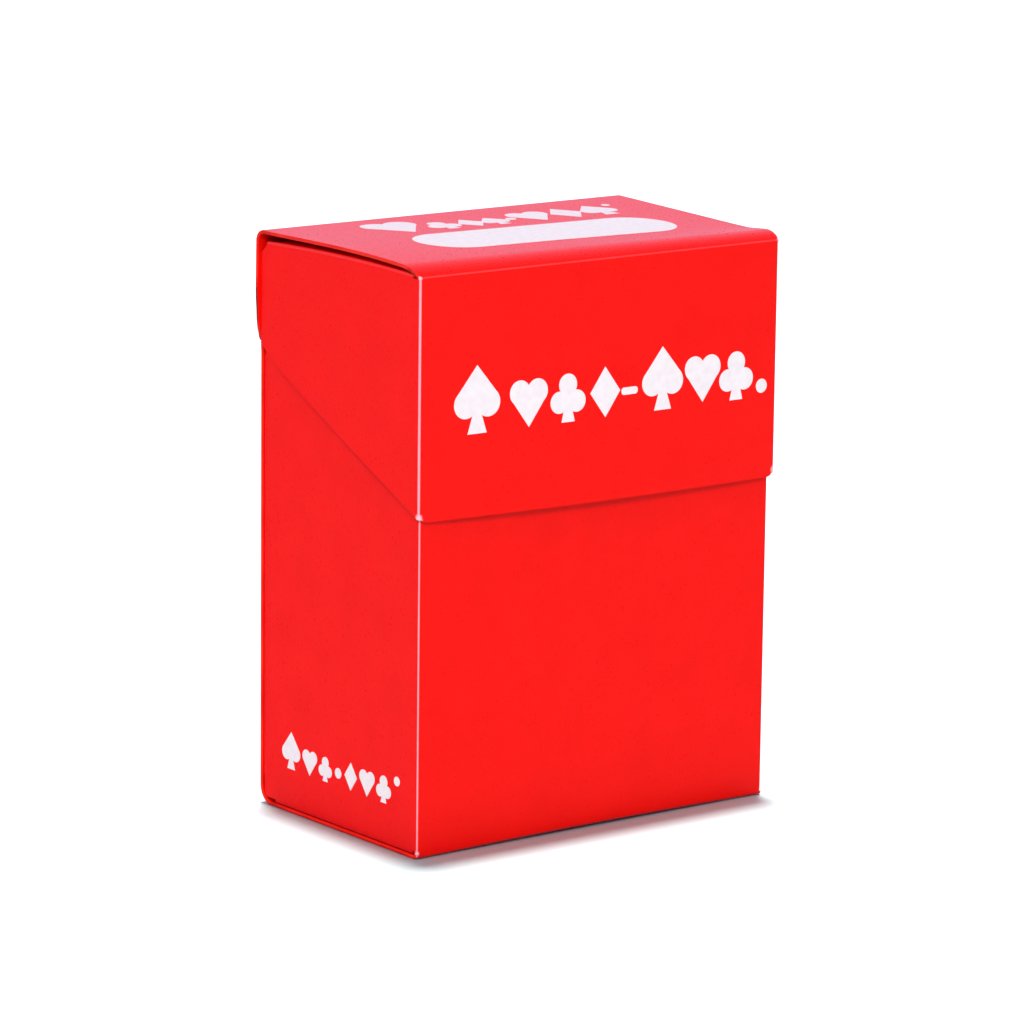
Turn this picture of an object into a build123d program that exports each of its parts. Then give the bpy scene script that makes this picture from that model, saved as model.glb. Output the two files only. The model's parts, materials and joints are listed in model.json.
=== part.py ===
from build123d import *
from math import cos, radians, sin, tan
import os

os.makedirs("parts", exist_ok=True)

# A flip-top deck box folded from polypropylene sheet. The box is a tray of folded panels,
# and the lid is the same sheet carried on past a living hinge, folded into a cap that
# closes over the outside of the tray. X is the width, -Y the front and +Z up.

# Driving dimensions, millimetres
body_width = 73.0  # across the two side panels
body_depth = 44.8  # front panel to back panel, outside
box_height = 98.2  # floor to the top of the closed lid, at its back
sheet = 0.6  # polypropylene sheet
lid_clearance = 0.15  # between the lid's walls and the tray inside them
ink = 0.04  # printed layers
hinge_height = 78.6  # living hinge, on the outer face of the back
lid_edge_height = 55.8  # lower edge of the lid's front

# Folds and flaps
hinge_radius = 0.6  # thinned bead of the living hinge
bottom_bend_radius = 3.2  # outside of the soft bend between back and bottom
top_bend_radius = 2.0  # outside of the bend between the lid's back and top
glue_bend_radius = 0.6  # outside of the bend into each glue flap
flap_gap = 0.1  # air between the bottom panel and the flaps above it
flap_reach = 13.0  # how far each flap runs in from its side
strip_overhang = 0.15  # bottom and back strips stand out past the side panels
lid_overhang = 0.45  # lid's back and top stand out past the ears
ear_top_drop = 1.9  # top fold of the ears, below the top of the box
top_slope = 0.9  # fall of the lid's top towards the front, degrees
shoulder_length = 4.0  # last, steeper stretch down to the front fold
flap_setback = 1.0  # bottom flap's ends, short of the front fold and the back bend
top_fold_inset = 1.4  # the ear's top fold starts this far behind its front edge
dust_flap_inset = 4.0  # dust flap's ends, short of the ear's ends
glue_flap_base = 5.0
lid_glue_flap_base = 79.8

# Cut outlines
notch_radius = 11.0  # thumb notch in the front panel
notch_lift = 2.0  # centre of the notch, above the panel's top edge
front_corner_radius = 1.5
side_shoulder_drop = 1.5  # the sides narrow from just below the hinge, inside the lid
side_front_lean = 3.6  # lean of the side's upper front edge, clear of the lid's swing
side_back_lean = 1.6
side_corner_radius = 2.5
side_heel_radius = 1.8  # lower back corner, inside the soft bend
side_top_clearance = 0.5  # between the sides' top edges and the dust flaps
ear_chamfer = 1.2  # upper back corner of each ear
ear_knee_reach = 9.5  # the ear's slanted edge steepens this far from the back
ear_knee_drop = 4.9  # and this far below the hinge
ear_back_rise = 0.3  # the slanted edge ends this far above the hinge
lid_taper_height = 2.3  # the lid's back narrows to the tray over this height

# Loose divider
divider_width = 67.0
divider_height = 87.5
divider_clearance = 0.35  # to the glue flaps behind it
divider_lift = 0.2  # above the bottom flaps
divider_corner_radius = 3.0
tab_width = 22.0
tab_height = 5.0
tab_corner_radius = 2.0

# Planes of the outer faces
lid_step = sheet + lid_clearance
back_y = (body_depth + lid_step + ink) / 2
front_y = back_y - body_depth
lid_front_y = front_y - lid_step
side_x = body_width / 2
ear_x = side_x + lid_step
strip_x = side_x + strip_overhang
lid_strip_x = ear_x + lid_overhang
ear_top = box_height - ear_top_drop
flap_base = sheet + flap_gap
side_base = flap_base + sheet
side_top = ear_top - sheet - side_top_clearance
side_shoulder = hinge_height - side_shoulder_drop
glue_y = back_y - sheet - glue_bend_radius

# The lid's sloping top, from the end of its back bend to its front shoulder
slope = radians(top_slope)
shoulder_y = lid_front_y + shoulder_length
bend_centre = (back_y - top_bend_radius, box_height - top_bend_radius)
top_start_z = bend_centre[1] + top_bend_radius * cos(slope)


def top_height(y):
    """Height of the lid's sloping top at depth y."""
    run_back = bend_centre[0] - top_bend_radius * sin(slope) - y
    return top_start_z - run_back * tan(slope)


sides = (("left", -1), ("right", 1))


def fold(centre, corner, outer, inner=0.0):
    """Section of a right-angled fold about centre, in the quadrant that corner's signs give."""
    align = tuple(Align.MIN if sign > 0 else Align.MAX for sign in corner)
    with Locations(centre):
        Circle(outer)
        if inner > 0:
            Circle(inner, mode=Mode.SUBTRACT)
        Rectangle(outer, outer, align=align, mode=Mode.INTERSECT)


def glue_section(outer_x, sign):
    """Section of a glue flap: a bend off the side, then a straight run along the back."""
    fold(
        (outer_x - sign * glue_bend_radius, glue_y),
        (sign, 1),
        glue_bend_radius,
        glue_bend_radius - sheet,
    )
    with Locations((outer_x - sign * glue_bend_radius, back_y - sheet)):
        Rectangle(flap_reach, sheet, align=(inward(sign), Align.MAX))


def inward(sign):
    """Alignment that runs a rectangle from the given side towards the middle."""
    return Align.MAX if sign > 0 else Align.MIN


def inner_corners(builder, axis, sign):
    """The two edges along axis at the flap's free end, nearest the middle of the box."""
    across = builder.edges().filter_by(axis).sort_by(Axis.X)
    return across[:2] if sign > 0 else across[-2:]


def finish(builder, node):
    """Label the sub-part and write its STEP file."""
    builder.part.label = node
    export_step(builder.part, f"parts/{node}.step")


# ---------------------------------------------------------------- tray: the wrapping strip
with BuildPart() as bottom_panel:
    with BuildSketch(Plane.XY):
        with Locations((0, front_y + sheet)):
            Rectangle(
                2 * strip_x,
                body_depth - sheet - bottom_bend_radius,
                align=(Align.CENTER, Align.MIN),
            )
    extrude(amount=sheet)
finish(bottom_panel, "bottom_panel")

with BuildPart() as back_bottom_bend:
    with BuildSketch(Plane.YZ):
        fold(
            (back_y - bottom_bend_radius, bottom_bend_radius),
            (1, -1),
            bottom_bend_radius,
            bottom_bend_radius - sheet,
        )
    extrude(amount=strip_x, both=True)
finish(back_bottom_bend, "back_bottom_bend")

with BuildPart() as back_panel:
    with BuildSketch(Plane.XZ.offset(-back_y)):
        with Locations((0, bottom_bend_radius)):
            Rectangle(
                2 * strip_x,
                hinge_height - hinge_radius - bottom_bend_radius,
                align=(Align.CENTER, Align.MIN),
            )
    extrude(amount=sheet)
finish(back_panel, "back_panel")

# The living hinge is a half-round bead whose flat side lies in the back's outer face, so
# its round face is centred on the line that the lid turns about.
with BuildPart() as lid_hinge:
    with BuildSketch(Plane.YZ):
        with Locations((back_y, hinge_height)):
            Circle(hinge_radius)
            Rectangle(
                hinge_radius,
                2 * hinge_radius,
                align=(Align.MAX, Align.CENTER),
                mode=Mode.INTERSECT,
            )
    extrude(amount=side_x, both=True)
finish(lid_hinge, "lid_hinge")

with BuildPart() as front_bottom_crease:
    with BuildSketch(Plane.YZ):
        fold((front_y + sheet, sheet), (-1, -1), sheet)
    extrude(amount=side_x, both=True)
finish(front_bottom_crease, "front_bottom_crease")

# The front panel ends level with the hinge, because the lid's front swings past its top.
with BuildPart() as front_panel:
    with BuildSketch(Plane.XZ.offset(-front_y)) as front_outline:
        with Locations((0, sheet)):
            Rectangle(
                body_width - 2 * sheet,
                hinge_height - sheet,
                align=(Align.CENTER, Align.MIN),
            )
        with Locations((0, hinge_height + notch_lift)):
            Circle(notch_radius, mode=Mode.SUBTRACT)
        top_corners = front_outline.vertices().group_by(Axis.Y)[-1]
        fillet(top_corners, radius=front_corner_radius)
    extrude(amount=-sheet)
finish(front_panel, "front_panel")

# ---------------------------------------------------------------- tray: sides and flaps
for name, sign in sides:
    outer_x = sign * side_x

    with BuildPart() as side_panel:
        with BuildSketch(Plane.YZ.offset(outer_x)) as side_outline:
            with BuildLine():
                Polyline(
                    (front_y + sheet, side_base),
                    (glue_y, side_base),
                    (glue_y, side_shoulder),
                    (glue_y - side_back_lean, side_top),
                    (front_y + sheet + side_front_lean, side_top),
                    (front_y + sheet, side_shoulder),
                    close=True,
                )
            make_face()
            top_corners = side_outline.vertices().group_by(Axis.Y)[-1]
            fillet(top_corners, radius=side_corner_radius)
            heel = side_outline.vertices().group_by(Axis.Y)[0].sort_by(Axis.X)[-1]
            fillet(heel, radius=side_heel_radius)
        extrude(amount=-sign * sheet)
    finish(side_panel, f"{name}_side_panel")

    with BuildPart() as front_crease:
        with BuildSketch(Plane.XY.offset(flap_base)):
            fold((outer_x - sign * sheet, front_y + sheet), (sign, -1), sheet)
        extrude(amount=side_shoulder - flap_base)
    finish(front_crease, f"{name}_front_crease")

    # The glue flap turns in behind the side panel and is welded to the back panel.
    with BuildPart() as glue_flap:
        with BuildSketch(Plane.XY.offset(glue_flap_base)):
            glue_section(outer_x, sign)
        extrude(amount=side_shoulder - glue_flap_base)
        chamfer(inner_corners(glue_flap, Axis.Y, sign), length=3.0)
    finish(glue_flap, f"{name}_glue_flap")

    # The bottom flap turns in under the side panel and lies just above the bottom panel.
    flap_front_y = front_y + sheet + flap_setback
    flap_back_y = back_y - bottom_bend_radius - flap_setback
    with BuildPart() as bottom_flap:
        with BuildSketch(Plane.XZ.offset(-flap_front_y)):
            fold((outer_x - sign * sheet, side_base), (sign, -1), sheet)
            with Locations((outer_x - sign * sheet, flap_base)):
                Rectangle(flap_reach, sheet, align=(inward(sign), Align.MIN))
        extrude(amount=flap_front_y - flap_back_y)
        chamfer(inner_corners(bottom_flap, Axis.Z, sign), length=4.0)
    finish(bottom_flap, f"{name}_bottom_flap")

# ---------------------------------------------------------------- lid: the wrapping strip
lid_back_base = hinge_height + hinge_radius

with BuildPart() as lid_back_panel:
    with BuildSketch(Plane.XZ.offset(-back_y)):
        with BuildLine():
            Polyline(
                (-side_x, lid_back_base),
                (side_x, lid_back_base),
                (lid_strip_x, lid_back_base + lid_taper_height),
                (lid_strip_x, box_height - top_bend_radius),
                (-lid_strip_x, box_height - top_bend_radius),
                (-lid_strip_x, lid_back_base + lid_taper_height),
                close=True,
            )
        make_face()
    extrude(amount=sheet)
finish(lid_back_panel, "lid_back_panel")

with BuildPart() as lid_top_back_bend:
    with BuildSketch(Plane.YZ):
        with BuildLine():
            CenterArc(bend_centre, top_bend_radius, 0, 90 + top_slope)
            offset(amount=sheet, side=Side.LEFT)
        make_face()
    extrude(amount=lid_strip_x, both=True)
finish(lid_top_back_bend, "lid_top_back_bend")

# The lid's top falls gently towards the front, then along a short shoulder to the fold.
with BuildPart() as lid_top_panel:
    with BuildSketch(Plane.YZ):
        with BuildLine():
            run = Line(
                (bend_centre[0] - top_bend_radius * sin(slope), top_start_z),
                (shoulder_y, top_height(shoulder_y)),
            )
            TangentArc(run @ 1, (lid_front_y + sheet, ear_top), tangent=run % 1)
            offset(amount=sheet, side=Side.LEFT)
        make_face()
    extrude(amount=lid_strip_x, both=True)
finish(lid_top_panel, "lid_top_panel")

with BuildPart() as lid_top_front_crease:
    with BuildSketch(Plane.YZ):
        fold((lid_front_y + sheet, ear_top - sheet), (-1, 1), sheet)
    extrude(amount=ear_x, both=True)
finish(lid_top_front_crease, "lid_top_front_crease")

with BuildPart() as lid_front_panel:
    with BuildSketch(Plane.XZ.offset(-lid_front_y)):
        with Locations((0, lid_edge_height)):
            Rectangle(
                2 * (ear_x - sheet),
                ear_top - sheet - lid_edge_height,
                align=(Align.CENTER, Align.MIN),
            )
    extrude(amount=-sheet)
finish(lid_front_panel, "lid_front_panel")

# ---------------------------------------------------------------- lid: ears and flaps
ear_front_y = lid_front_y + sheet
ear_back_y = glue_y
ear_back_base = hinge_height + ear_back_rise
ear_knee = (back_y - ear_knee_reach, hinge_height - ear_knee_drop)

for name, sign in sides:
    outer_x = sign * ear_x

    with BuildPart() as ear:
        with BuildSketch(Plane.YZ.offset(outer_x)):
            with BuildLine():
                slant = Line((ear_front_y, lid_edge_height), ear_knee)
                TangentArc(ear_knee, (ear_back_y, ear_back_base), tangent=slant % 1)
                Polyline(
                    (ear_back_y, ear_back_base),
                    (ear_back_y, ear_top - sheet - ear_chamfer),
                    (ear_back_y - ear_chamfer, ear_top - sheet),
                    (ear_front_y, ear_top - sheet),
                    (ear_front_y, lid_edge_height),
                )
            make_face()
        extrude(amount=-sign * sheet)
    finish(ear, f"lid_{name}_ear")

    with BuildPart() as lid_crease:
        with BuildSketch(Plane.XY.offset(lid_edge_height)):
            fold((outer_x - sign * sheet, lid_front_y + sheet), (sign, -1), sheet)
        extrude(amount=ear_top - sheet - lid_edge_height)
    finish(lid_crease, f"lid_{name}_crease")

    # The dust flap turns in from the ear's top fold and lies under the lid's top.
    fold_front_y = ear_front_y + top_fold_inset
    dust_front_y = ear_front_y + dust_flap_inset
    with BuildPart() as dust_flap:
        with BuildSketch(Plane.XZ.offset(-fold_front_y)):
            fold((outer_x - sign * sheet, ear_top - sheet), (sign, 1), sheet)
        extrude(amount=fold_front_y - ear_back_y + ear_chamfer)
        with BuildSketch(Plane.XZ.offset(-dust_front_y)):
            with Locations((outer_x - sign * sheet, ear_top)):
                Rectangle(flap_reach, sheet, align=(inward(sign), Align.MAX))
        extrude(amount=dust_front_y - ear_back_y + dust_flap_inset)
        chamfer(inner_corners(dust_flap, Axis.Z, sign), length=4.0)
    finish(dust_flap, f"lid_{name}_dust_flap")

    with BuildPart() as lid_glue_flap:
        with BuildSketch(Plane.XY.offset(lid_glue_flap_base)):
            glue_section(outer_x, sign)
        extrude(amount=ear_top - sheet - ear_chamfer - lid_glue_flap_base)
        chamfer(inner_corners(lid_glue_flap, Axis.Y, sign), length=2.0)
    finish(lid_glue_flap, f"lid_{name}_glue_flap")

# ---------------------------------------------------------------- loose divider
# A flat card with an index tab. It stands on the bottom flaps and slides front to back.
divider_base = side_base + divider_lift
divider_back_y = back_y - 2 * sheet - divider_clearance
divider_top = divider_base + divider_height

with BuildPart() as deck_divider:
    with BuildSketch(Plane.XZ.offset(-divider_back_y)) as divider_outline:
        with Locations((0, divider_base)):
            Rectangle(divider_width, divider_height, align=(Align.CENTER, Align.MIN))
        fillet(divider_outline.vertices(), radius=divider_corner_radius)
        with Locations((0, divider_top + tab_height)):
            Rectangle(tab_width, 2 * tab_height, align=(Align.CENTER, Align.MAX))
        tab_corners = divider_outline.vertices().group_by(Axis.Y)[-1]
        fillet(tab_corners, radius=tab_corner_radius)
    extrude(amount=sheet)
finish(deck_divider, "deck_divider")


# ---------------------------------------------------------------- printed marks
def spade(size):
    """A spade, size tall, centred on its own origin."""
    with BuildSketch() as mark:
        with Locations((-0.2 * size, -0.06 * size), (0.2 * size, -0.06 * size)):
            Circle(0.21 * size)
        with BuildLine():
            Polyline(
                (-0.37 * size, 0.06 * size),
                (0, 0.5 * size),
                (0.37 * size, 0.06 * size),
                (0, -0.2 * size),
                close=True,
            )
        make_face()
        with Locations((0, -0.5 * size)):
            Trapezoid(
                0.34 * size, 0.4 * size, 72, align=(Align.CENTER, Align.MIN)
            )
    return mark.sketch


def heart(size):
    """A heart, size tall, centred on its own origin."""
    with BuildSketch() as mark:
        with Locations((-0.22 * size, 0.22 * size), (0.22 * size, 0.22 * size)):
            Circle(0.26 * size)
        with BuildLine():
            Polyline(
                (-0.43 * size, 0.08 * size),
                (0, 0.3 * size),
                (0.43 * size, 0.08 * size),
                (0, -0.5 * size),
                close=True,
            )
        make_face()
    return mark.sketch


def club(size):
    """A club, size tall, centred on its own origin."""
    with BuildSketch() as mark:
        with Locations((0, 0.27 * size)):
            Circle(0.23 * size)
        with Locations((-0.22 * size, -0.08 * size), (0.22 * size, -0.08 * size)):
            Circle(0.23 * size)
        with Locations((0, -0.5 * size)):
            Trapezoid(
                0.34 * size, 0.6 * size, 76, align=(Align.CENTER, Align.MIN)
            )
    return mark.sketch


def diamond(size):
    """A diamond, size tall, centred on its own origin."""
    with BuildSketch() as mark:
        with BuildLine():
            Polyline(
                (0, 0.5 * size),
                (0.37 * size, 0),
                (0, -0.5 * size),
                (-0.37 * size, 0),
                close=True,
            )
        make_face()
    return mark.sketch


def dot(size):
    """A round dot of diameter size."""
    with BuildSketch() as mark:
        Circle(size / 2)
    return mark.sketch


def dash(size):
    """A short bar, size long."""
    with BuildSketch() as mark:
        RectangleRounded(size, 0.36 * size, 0.15 * size)
    return mark.sketch


def mark_row(base_line, marks):
    """Add marks of (shape, size, place along the row, rise above the base line)."""
    for shape, size, along, rise in marks:
        with Locations((along, base_line + rise + size / 2)):
            add(shape(size))


# Each row starts with a tall mark and ends with a small dot.
front_marks = (
    (spade, 11.2, -25.8, 0),
    (heart, 8.0, -15.4, 0),
    (club, 8.0, -7.4, 0),
    (diamond, 8.4, 0.3, 0),
    (dash, 3.4, 5.4, 2.2),
    (spade, 10.6, 12.4, 0),
    (heart, 8.0, 21.0, 0.4),
    (club, 8.2, 28.3, 0),
    (dot, 2.4, 33.9, 0.6),
)
top_marks = (
    (heart, 10.8, -17.2, 0),
    (club, 7.0, -9.0, 0),
    (diamond, 7.0, -3.2, 0),
    (spade, 6.6, 1.6, 0),
    (dot, 1.9, 5.4, 2.8),
    (heart, 8.4, 10.4, 0),
    (diamond, 8.8, 17.6, 0),
    (spade, 8.8, 24.4, 0),
    (dot, 1.6, 28.9, 7.0),
)
side_marks = (
    (spade, 6.4, 13.8, 0),
    (heart, 4.4, 8.4, 0),
    (club, 4.2, 3.9, 0),
    (dot, 1.8, 0.2, 1.3),
    (diamond, 4.8, -3.4, 0),
    (heart, 4.5, -8.0, 0),
    (club, 4.6, -12.7, 0),
    (dot, 1.6, -16.4, 3.6),
)
front_base_line = 69.7
top_base_line = 6.0
side_base_line = 7.6
name_strip_length = 51.7
name_strip_width = 14.4
name_strip_centre = (2.1, -4.4)

with BuildPart() as lid_front_print:
    with BuildSketch(Plane.XZ.offset(-lid_front_y)):
        mark_row(front_base_line, front_marks)
    extrude(amount=ink)
finish(lid_front_print, "lid_front_print")

# The top's prints lie in the plane of its slope.
top_plane = Plane(
    origin=(0, 0, top_height(0)), x_dir=(1, 0, 0), z_dir=(0, -sin(slope), cos(slope))
)

with BuildPart() as lid_top_print:
    with BuildSketch(top_plane):
        mark_row(top_base_line, top_marks)
    extrude(amount=ink)
finish(lid_top_print, "lid_top_print")

with BuildPart() as name_strip:
    with BuildSketch(top_plane):
        with Locations(name_strip_centre):
            SlotOverall(name_strip_length, name_strip_width)
    extrude(amount=ink)
finish(name_strip, "name_strip")

with BuildPart() as side_print:
    with BuildSketch(Plane.YZ.offset(-side_x - ink)):
        mark_row(side_base_line, side_marks)
    extrude(amount=ink)
finish(side_print, "side_print")
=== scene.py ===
import json
from math import atan2, cos, pi, radians, sin, tan

import bmesh
import bpy
from mathutils import Matrix, Vector

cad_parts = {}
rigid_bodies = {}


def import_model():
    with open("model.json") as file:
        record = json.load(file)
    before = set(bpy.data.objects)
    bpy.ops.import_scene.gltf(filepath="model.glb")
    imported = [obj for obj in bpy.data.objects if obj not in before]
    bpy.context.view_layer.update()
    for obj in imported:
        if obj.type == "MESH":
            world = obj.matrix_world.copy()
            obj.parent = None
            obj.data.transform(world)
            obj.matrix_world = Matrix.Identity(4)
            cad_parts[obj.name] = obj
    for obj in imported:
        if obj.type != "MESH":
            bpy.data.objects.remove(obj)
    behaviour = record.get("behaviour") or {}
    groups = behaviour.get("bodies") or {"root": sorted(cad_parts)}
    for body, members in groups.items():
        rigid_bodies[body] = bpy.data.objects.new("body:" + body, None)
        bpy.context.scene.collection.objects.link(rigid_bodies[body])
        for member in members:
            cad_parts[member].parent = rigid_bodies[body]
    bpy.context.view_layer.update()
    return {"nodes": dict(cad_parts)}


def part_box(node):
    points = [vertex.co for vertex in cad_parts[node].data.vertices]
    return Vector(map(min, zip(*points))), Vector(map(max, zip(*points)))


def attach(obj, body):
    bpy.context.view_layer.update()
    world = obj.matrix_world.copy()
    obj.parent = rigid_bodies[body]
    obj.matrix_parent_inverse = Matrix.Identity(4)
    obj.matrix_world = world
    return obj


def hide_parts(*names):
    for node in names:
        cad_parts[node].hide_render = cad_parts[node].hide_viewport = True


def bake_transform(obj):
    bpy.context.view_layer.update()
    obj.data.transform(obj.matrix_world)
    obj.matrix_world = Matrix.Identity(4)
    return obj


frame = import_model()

MM = 0.001
QUARTER = pi / 2
NEAR = 1e-6  # places closer than this are the same place, in metres
LEVEL = 1e-7  # the same for depths through the sheet
SIDES = (("left", -1), ("right", 1))

# ---------------------------------------------------------------- sizes read from the frame
front_low, front_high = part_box("front_panel")
side_low, side_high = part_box("left_side_panel")
back_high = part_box("back_panel")[1]
bend_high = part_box("back_bottom_bend")[1]
crease_low, crease_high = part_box("left_front_crease")
glue_low, glue_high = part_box("left_glue_flap")
floor_flap_low, floor_flap_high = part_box("left_bottom_flap")
hinge_low, hinge_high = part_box("lid_hinge")
lid_front_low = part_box("lid_front_panel")[0]
lid_back_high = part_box("lid_back_panel")[1]
lid_bend_low, lid_bend_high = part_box("lid_top_back_bend")
ear_low, ear_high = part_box("lid_left_ear")
dust_low, dust_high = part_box("lid_left_dust_flap")
lid_glue_low, lid_glue_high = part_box("lid_left_glue_flap")
divider_low, divider_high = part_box("deck_divider")

sheet = front_high.y - front_low.y  # thickness of the polypropylene
tray_x = -side_low.x  # half widths: tray, lid's ears, wrapping strip, its part on the lid
ear_x = -ear_low.x
strip_x = back_high.x
lid_strip_x = lid_back_high.x
front_y = front_low.y
back_y = back_high.y
lid_front_y = lid_front_low.y
glue_y = side_high.y  # where the sides bend into their glue flaps
glue_radius = back_y - sheet - glue_y
bottom_radius = bend_high.z
top_radius = lid_bend_high.z - lid_bend_low.z
lid_top = lid_bend_high.z
fold_top = dust_high.z  # top of the ears' folds
crease_top = fold_top - sheet
lid_edge = lid_front_low.z
flap_reach = glue_high.x + tray_x - glue_radius
hinge_z = (hinge_low.z + hinge_high.z) / 2

# ---------------------------------------------------------------- shapes seen in the photo
EDGE_ROUND = 0.17 * MM  # rounding of a die-cut edge
GRID = 4.0 * MM  # spacing of the mesh over flat panels
PRINT_GRID = 3.0 * MM  # and over the printed marks
BEND_STEPS = 10  # mesh rows round a right-angled fold
FOLD_MAP_SPAN = 0.1  # length along a fold that its map takes as one

# Tray
ARCH = 0.4 * MM  # the front's lower edge stands this far off the floor in its middle
ARCH_HEIGHT = 25 * MM  # the arch is gone this far up
ARCH_DEPTH = 7 * MM  # and this far back
SIDE_BOW = 0.12 * MM
FRONT_BOW = 0.10 * MM
BACK_BOW = 0.15 * MM
BOW_ABOVE_HINGE = 20 * MM  # the tray's bow ends this far above the hinge
HEEL = 0.7 * MM  # rounding of the side's lower back corner, close inside the soft bend
SIDE_FRONT_LEAN = 3.6 * MM  # the sides lean in above the shoulder, to go inside the lid
SIDE_BACK_LEAN = 1.6 * MM
SIDE_CORNER = 2.5 * MM
NOTCH_RADIUS = 11.0 * MM  # thumb notch
NOTCH_LIFT = 2.0 * MM  # its centre, above the front's top edge
NOTCH_STEPS = 28
FRONT_CORNER = 1.5 * MM
GLUE_FLAP_CHAMFER = 3.0 * MM
BOTTOM_FLAP_CHAMFER = 4.0 * MM

# Lid
LID_FRONT_BOW = 0.80 * MM
EAR_BOW = 0.10 * MM
EAR_LIFT = 0.5 * MM  # rise of the left ear's top fold between its ends
EAR_LIFT_HEIGHT = 10 * MM  # it is gone this far down
EAR_CHAMFER = 1.2 * MM
EAR_END_RISE = 0.3 * MM  # the slanted edge ends this far above the hinge
EAR_KNEE_REACH = 9.5 * MM  # it steepens this far from the back
EAR_KNEE_DROP = 4.9 * MM  # and this far below the hinge
EAR_KNEE_STEPS = 8
EDGE_LEFT_RISE = 0.4 * MM  # the front's lower edge curls up at the left
EDGE_RIGHT_SAG = 0.15 * MM  # and sags at the right
PANEL_RISE = 0.45 * MM  # it rounds up to each front fold by this much
PANEL_EASE = 1.3 * MM  # over this width
CORNER_RISE = 0.9 * MM  # height of the ears' lower front corners above the lid's edge
LID_GLUE_CHAMFER = 2.0 * MM
DUST_FLAP_CHAMFER = 4.0 * MM
DUST_FLAP_INSET = 4.0 * MM  # the dust flap's ends, short of the ear's
TOP_SLOPE = radians(0.9)
TOP_LEFT_RISE = 0.5 * MM
TOP_RIGHT_SAG = 0.68 * MM
TOP_RIGHT_CREST = 0.78  # share of the top's depth where it sags most
SHOULDER_LENGTH = 4.6 * MM
SHOULDER_STEPS = 5
# Widening of the lid's back: mm above the hinge, share of the step out to the lid
BACK_WIDENING = (
    (0.0, 0.0), (0.4, 0.03), (1.0, 0.24), (1.5, 0.54), (2.2, 0.73),
    (3.8, 0.82), (5.8, 0.88), (7.3, 0.96), (8.8, 1.0),
)

# Hinge and divider
HINGE_WEB = 0.25 * MM  # thickness of the living hinge in its middle
HINGE_GROOVE = 0.06 * MM  # depth of its groove outside
HINGE_ROWS, HINGE_COLUMNS = 18, 40
TAB_HALF_WIDTH = 11.0 * MM
TAB_RISE = 5.0 * MM
TAB_CORNER = 2.0 * MM
DIVIDER_CORNER = 3.0 * MM


# ---------------------------------------------------------------- folded sheet geometry
class FoldPath:
    """Outer face of a folded sheet seen end on: straight runs and bends to the left.

    The sheet lies to the left of the path, so its outer face looks to the right.
    """

    def __init__(self, start, heading, runs):
        self.marks = [0.0]
        self.parts = []
        point, angle = Vector(start), heading
        for kind, *sizes in runs:
            if kind == "line":
                length, turn = sizes[0], 0.0
            else:
                length, turn = sizes[0] * sizes[1], sizes[1]
            self.parts.append((self.marks[-1], length, point.copy(), angle, turn))
            self.marks.append(self.marks[-1] + length)
            point, angle = self._step(point, angle, length, turn, length)

    @staticmethod
    def _step(point, angle, length, turn, distance):
        if turn == 0.0:
            return point + distance * Vector((cos(angle), sin(angle))), angle
        radius = length / turn
        end = angle + distance / radius
        move = Vector((sin(end) - sin(angle), cos(angle) - cos(end)))
        return point + radius * move, end

    def at(self, distance):
        """Point on the outer face and the outward direction there."""
        for start, length, point, angle, turn in self.parts:
            if distance <= start + length + 1e-9:
                break
        spot, heading = self._step(point, angle, length, turn, distance - start)
        return spot, Vector((sin(heading), -cos(heading)))

    def rows(self, low, high):
        """Distances between low and high where the mesh needs a row."""
        found = []
        for start, length, _point, _angle, turn in self.parts:
            count = max(1, round(length / GRID))
            if turn:
                count = max(3, round(BEND_STEPS * turn / QUARTER))
            found += [start + length * i / count for i in range(count + 1)]
        return [d for d in found if low + NEAR < d < high - NEAR]


class Surface:
    """Maps (along, across, depth) on a folded sheet to a point of the rest frame.

    bow pushes the sheet outwards, mirror flips it across a plane of constant x, and lift
    raises each point by the height it gives.
    """

    def __init__(self, path, across_axis, bow=None, lift=None, mirror=None):
        self.path = path
        self.across_axis = across_axis
        self.bow = bow or (lambda along, across: 0.0)
        self.lift = lift
        self.mirror = mirror

    def point(self, along, across, depth):
        spot, out = self.path.at(along)
        spot = spot + out * (self.bow(along, across) - depth)
        found = {
            "x": Vector((across, spot.x, spot.y)),
            "y": Vector((spot.x, across, spot.y)),
            "z": Vector((spot.x, spot.y, across)),
        }[self.across_axis]
        if self.mirror is not None:
            found.x = 2 * self.mirror - found.x
        if self.lift:
            found.z += self.lift(found)
        return found

    def normal(self, along, across):
        step = 0.05 * MM
        lower, upper = max(0.0, along - step), min(self.path.marks[-1], along + step)
        d_along = self.point(upper, across, 0) - self.point(lower, across, 0)
        d_across = self.point(along, across + step, 0) - self.point(along, across - step, 0)
        found = d_along.cross(d_across).normalized()
        out = self.point(along, across, -sheet) - self.point(along, across, 0)
        return found if found.dot(out) > 0 else -found


# Material slots of a sheet piece
FACE, CUT_EDGE, CREASE = 0, 1, 2


def flat_sheet(outline):
    """Closed flat sheet, outer face at z = 0, with the outline's cut edges rounded."""
    bm = bmesh.new()
    outer = [bm.verts.new((a, c, 0.0)) for a, c, _cut in outline]
    inner = [bm.verts.new((a, c, -sheet)) for a, c, _cut in outline]
    bm.faces.new(outer)
    bm.faces.new(inner[::-1])
    rims = []
    for i, (_a, _c, cut) in enumerate(outline):
        j = (i + 1) % len(outline)
        bm.faces.new((outer[j], outer[i], inner[i], inner[j]))
        if cut:
            rims.append(bm.edges.get((outer[i], outer[j])))
            rims.append(bm.edges.get((inner[i], inner[j])))
    if rims:
        bmesh.ops.bevel(bm, geom=rims, offset=EDGE_ROUND, segments=2, profile=0.5,
                        affect="EDGES", clamp_overlap=True)
    return bm


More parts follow.
